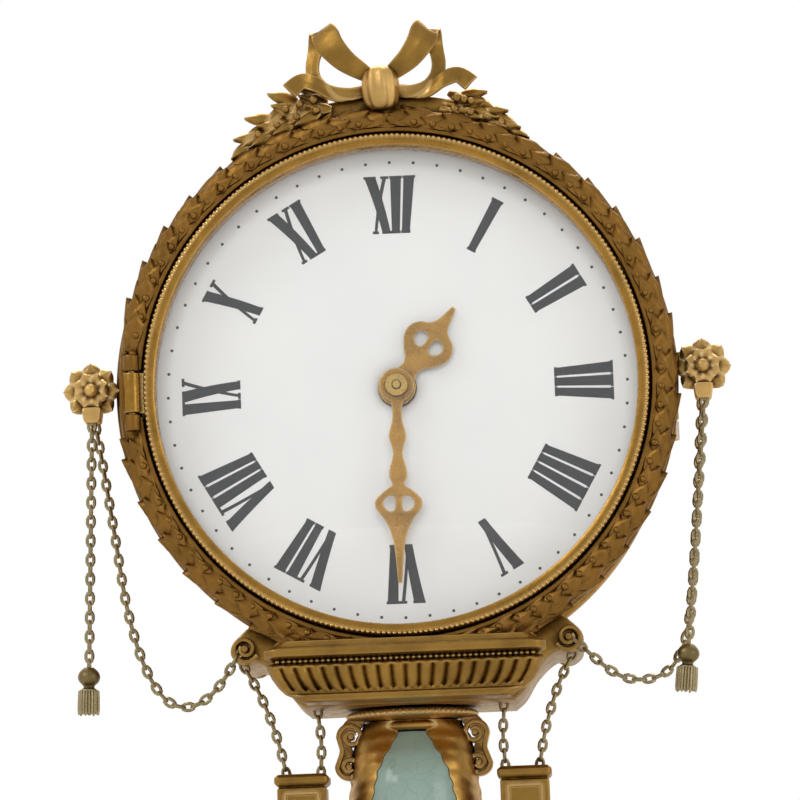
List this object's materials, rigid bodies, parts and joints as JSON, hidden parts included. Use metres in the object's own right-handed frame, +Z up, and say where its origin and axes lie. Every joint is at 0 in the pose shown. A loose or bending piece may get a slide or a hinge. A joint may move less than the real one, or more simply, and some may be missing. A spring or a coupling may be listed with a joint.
{
  "type": "desk clock",
  "caption": "Gilt-bronze drum clock with an enamel Roman dial, bow crest, rosettes, chains and tassels, on a celadon vase; hinged front and back, hand-wound movement.",
  "frame": {"origin": "centre of the base's underside, on the surface that the clock stands on", "axes": "+Z up, the dial faces -Y, +X to the right of someone reading the dial"},
  "size_m": [0.1198, 0.066, 0.2413],
  "materials": {
    "gilt_bronze": "fire-gilt, chased and burnished",
    "brass": "turned and polished",
    "steel": "polished",
    "blued_steel": "heat blued",
    "white_enamel": "fired white enamel with painted numerals",
    "celadon": "grey-green glaze",
    "glass": "clear"
  },
  "bodies": {
    "case": {"foot_front_left": "gilt_bronze", "foot_front_right": "gilt_bronze", "foot_back_left": "gilt_bronze", "foot_back_right": "gilt_bronze", "base_frame": "gilt_bronze", "base_slab": "celadon", "vase_socle": "gilt_bronze", "vase_body": "celadon", "vase_mount": "gilt_bronze", "side_column_left": "gilt_bronze", "side_column_right": "gilt_bronze", "side_cap_left": "gilt_bronze", "side_cap_right": "gilt_bronze", "cradle": "gilt_bronze", "tie_bolt": "steel", "tie_bolt_nut": "steel", "drum_case": "gilt_bronze", "wreath_ring": "gilt_bronze", "front_hinge_pin": "brass", "back_hinge_pin": "brass", "bow_crest": "gilt_bronze", "rosette_left": "gilt_bronze", "rosette_right": "gilt_bronze", "swag_chain_left": "gilt_bronze", "swag_chain_right": "gilt_bronze", "outer_chain_left": "gilt_bronze", "outer_chain_right": "gilt_bronze", "inner_chain_left": "gilt_bronze", "inner_chain_right": "gilt_bronze", "dial": "white_enamel", "front_plate": "brass", "back_plate": "brass", "pillar_1": "brass", "pillar_2": "brass", "pillar_3": "brass", "hairspring": "blued_steel"},
    "bezel": {"front_bezel": "gilt_bronze", "front_glass": "glass"},
    "door": {"back_door": "gilt_bronze"},
    "tassel_left": {"tassel_chain_left": "gilt_bronze", "tassel_left": "gilt_bronze"},
    "tassel_right": {"tassel_chain_right": "gilt_bronze", "tassel_right": "gilt_bronze"},
    "minute_work": {"centre_wheel": "brass", "cannon_pinion": "steel", "minute_hand": "gilt_bronze", "hand_collet": "brass"},
    "hour_work": {"hour_wheel": "brass", "hour_hand": "gilt_bronze"},
    "minute_wheel": {"minute_wheel": "brass"},
    "barrel": {"barrel": "brass", "mainspring": "steel"},
    "third_wheel": {"third_wheel": "brass"},
    "fourth_wheel": {"fourth_wheel": "brass"},
    "escape_wheel": {"escape_wheel": "steel"},
    "winder": {"barrel_arbor": "steel", "winding_key": "steel"},
    "click": {"click": "steel"},
    "pallet_lever": {"pallet_lever": "steel"},
    "balance": {"balance_wheel": "brass"}
  },
  "joints": [
    {"name": "bezel_hinge", "type": "hinge", "parent": "case", "child": "bezel", "pos_m": [-0.0472, -0.0236, 0.176], "axis": [0, 0, -1], "range_deg": [0, 100]},
    {"name": "door_hinge", "type": "hinge", "parent": "case", "child": "door", "pos_m": [0.0496, 0.0235, 0.176], "axis": [0, 0, -1], "range_deg": [0, 110]},
    {"name": "tassel_left_swing", "type": "hinge", "parent": "case", "child": "tassel_left", "pos_m": [-0.0548, -0.0204, 0.171], "axis": [0, 1, 0], "range_deg": [-10, 10]},
    {"name": "tassel_right_swing", "type": "hinge", "parent": "case", "child": "tassel_right", "pos_m": [0.0548, -0.0204, 0.171], "axis": [0, 1, 0], "range_deg": [-10, 10]},
    {"name": "minute_hand_turn", "type": "hinge", "parent": "case", "child": "minute_work", "pos_m": [0, 0, 0.176], "axis": [0, 1, 0], "continuous": true},
    {"name": "hour_hand_turn", "type": "hinge", "parent": "case", "child": "hour_work", "pos_m": [0, 0, 0.176], "axis": [0, 1, 0], "continuous": true},
    {"name": "minute_wheel_turn", "type": "hinge", "parent": "case", "child": "minute_wheel", "pos_m": [0.00624, 0, 0.1724], "axis": [0, 1, 0], "continuous": true},
    {"name": "barrel_turn", "type": "hinge", "parent": "case", "child": "barrel", "pos_m": [0, 0, 0.1571], "axis": [0, 1, 0], "continuous": true},
    {"name": "third_wheel_turn", "type": "hinge", "parent": "case", "child": "third_wheel", "pos_m": [-0.01175, 0, 0.18148], "axis": [0, 1, 0], "continuous": true},
    {"name": "fourth_wheel_turn", "type": "hinge", "parent": "case", "child": "fourth_wheel", "pos_m": [-0.00631, 0, 0.1909], "axis": [0, 1, 0], "continuous": true},
    {"name": "escape_wheel_turn", "type": "hinge", "parent": "case", "child": "escape_wheel", "pos_m": [0.00425, 0, 0.1909], "axis": [0, 1, 0], "continuous": true},
    {"name": "winding", "type": "hinge", "parent": "case", "child": "winder", "pos_m": [0, 0, 0.1571], "axis": [0, 1, 0], "continuous": true},
    {"name": "click_lift", "type": "hinge", "parent": "case", "child": "click", "pos_m": [0.0092, 0.0124, 0.1634], "axis": [0, 1, 0], "range_deg": [0, 12], "stiffness_Nm_per_rad": 0.0005},
    {"name": "lever_swing", "type": "hinge", "parent": "case", "child": "pallet_lever", "pos_m": [0.0074, 0, 0.19636], "axis": [0, 1, 0], "range_deg": [-5, 5]},
    {"name": "balance_swing", "type": "hinge", "parent": "case", "child": "balance", "pos_m": [0.01165, 0, 0.20372], "axis": [0, 1, 0], "range_deg": [-120, 120], "stiffness_Nm_per_rad": 0.000006}
  ],
  "couplings": [
    {"joint": "hour_hand_turn", "follows": "minute_hand_turn", "ratio": 0.083333},
    {"joint": "minute_wheel_turn", "follows": "minute_hand_turn", "ratio": -0.33333},
    {"joint": "barrel_turn", "follows": "minute_hand_turn", "ratio": -0.16667},
    {"joint": "third_wheel_turn", "follows": "minute_hand_turn", "ratio": -8},
    {"joint": "fourth_wheel_turn", "follows": "minute_hand_turn", "ratio": 60},
    {"joint": "escape_wheel_turn", "follows": "minute_hand_turn", "ratio": -600}
  ]
}
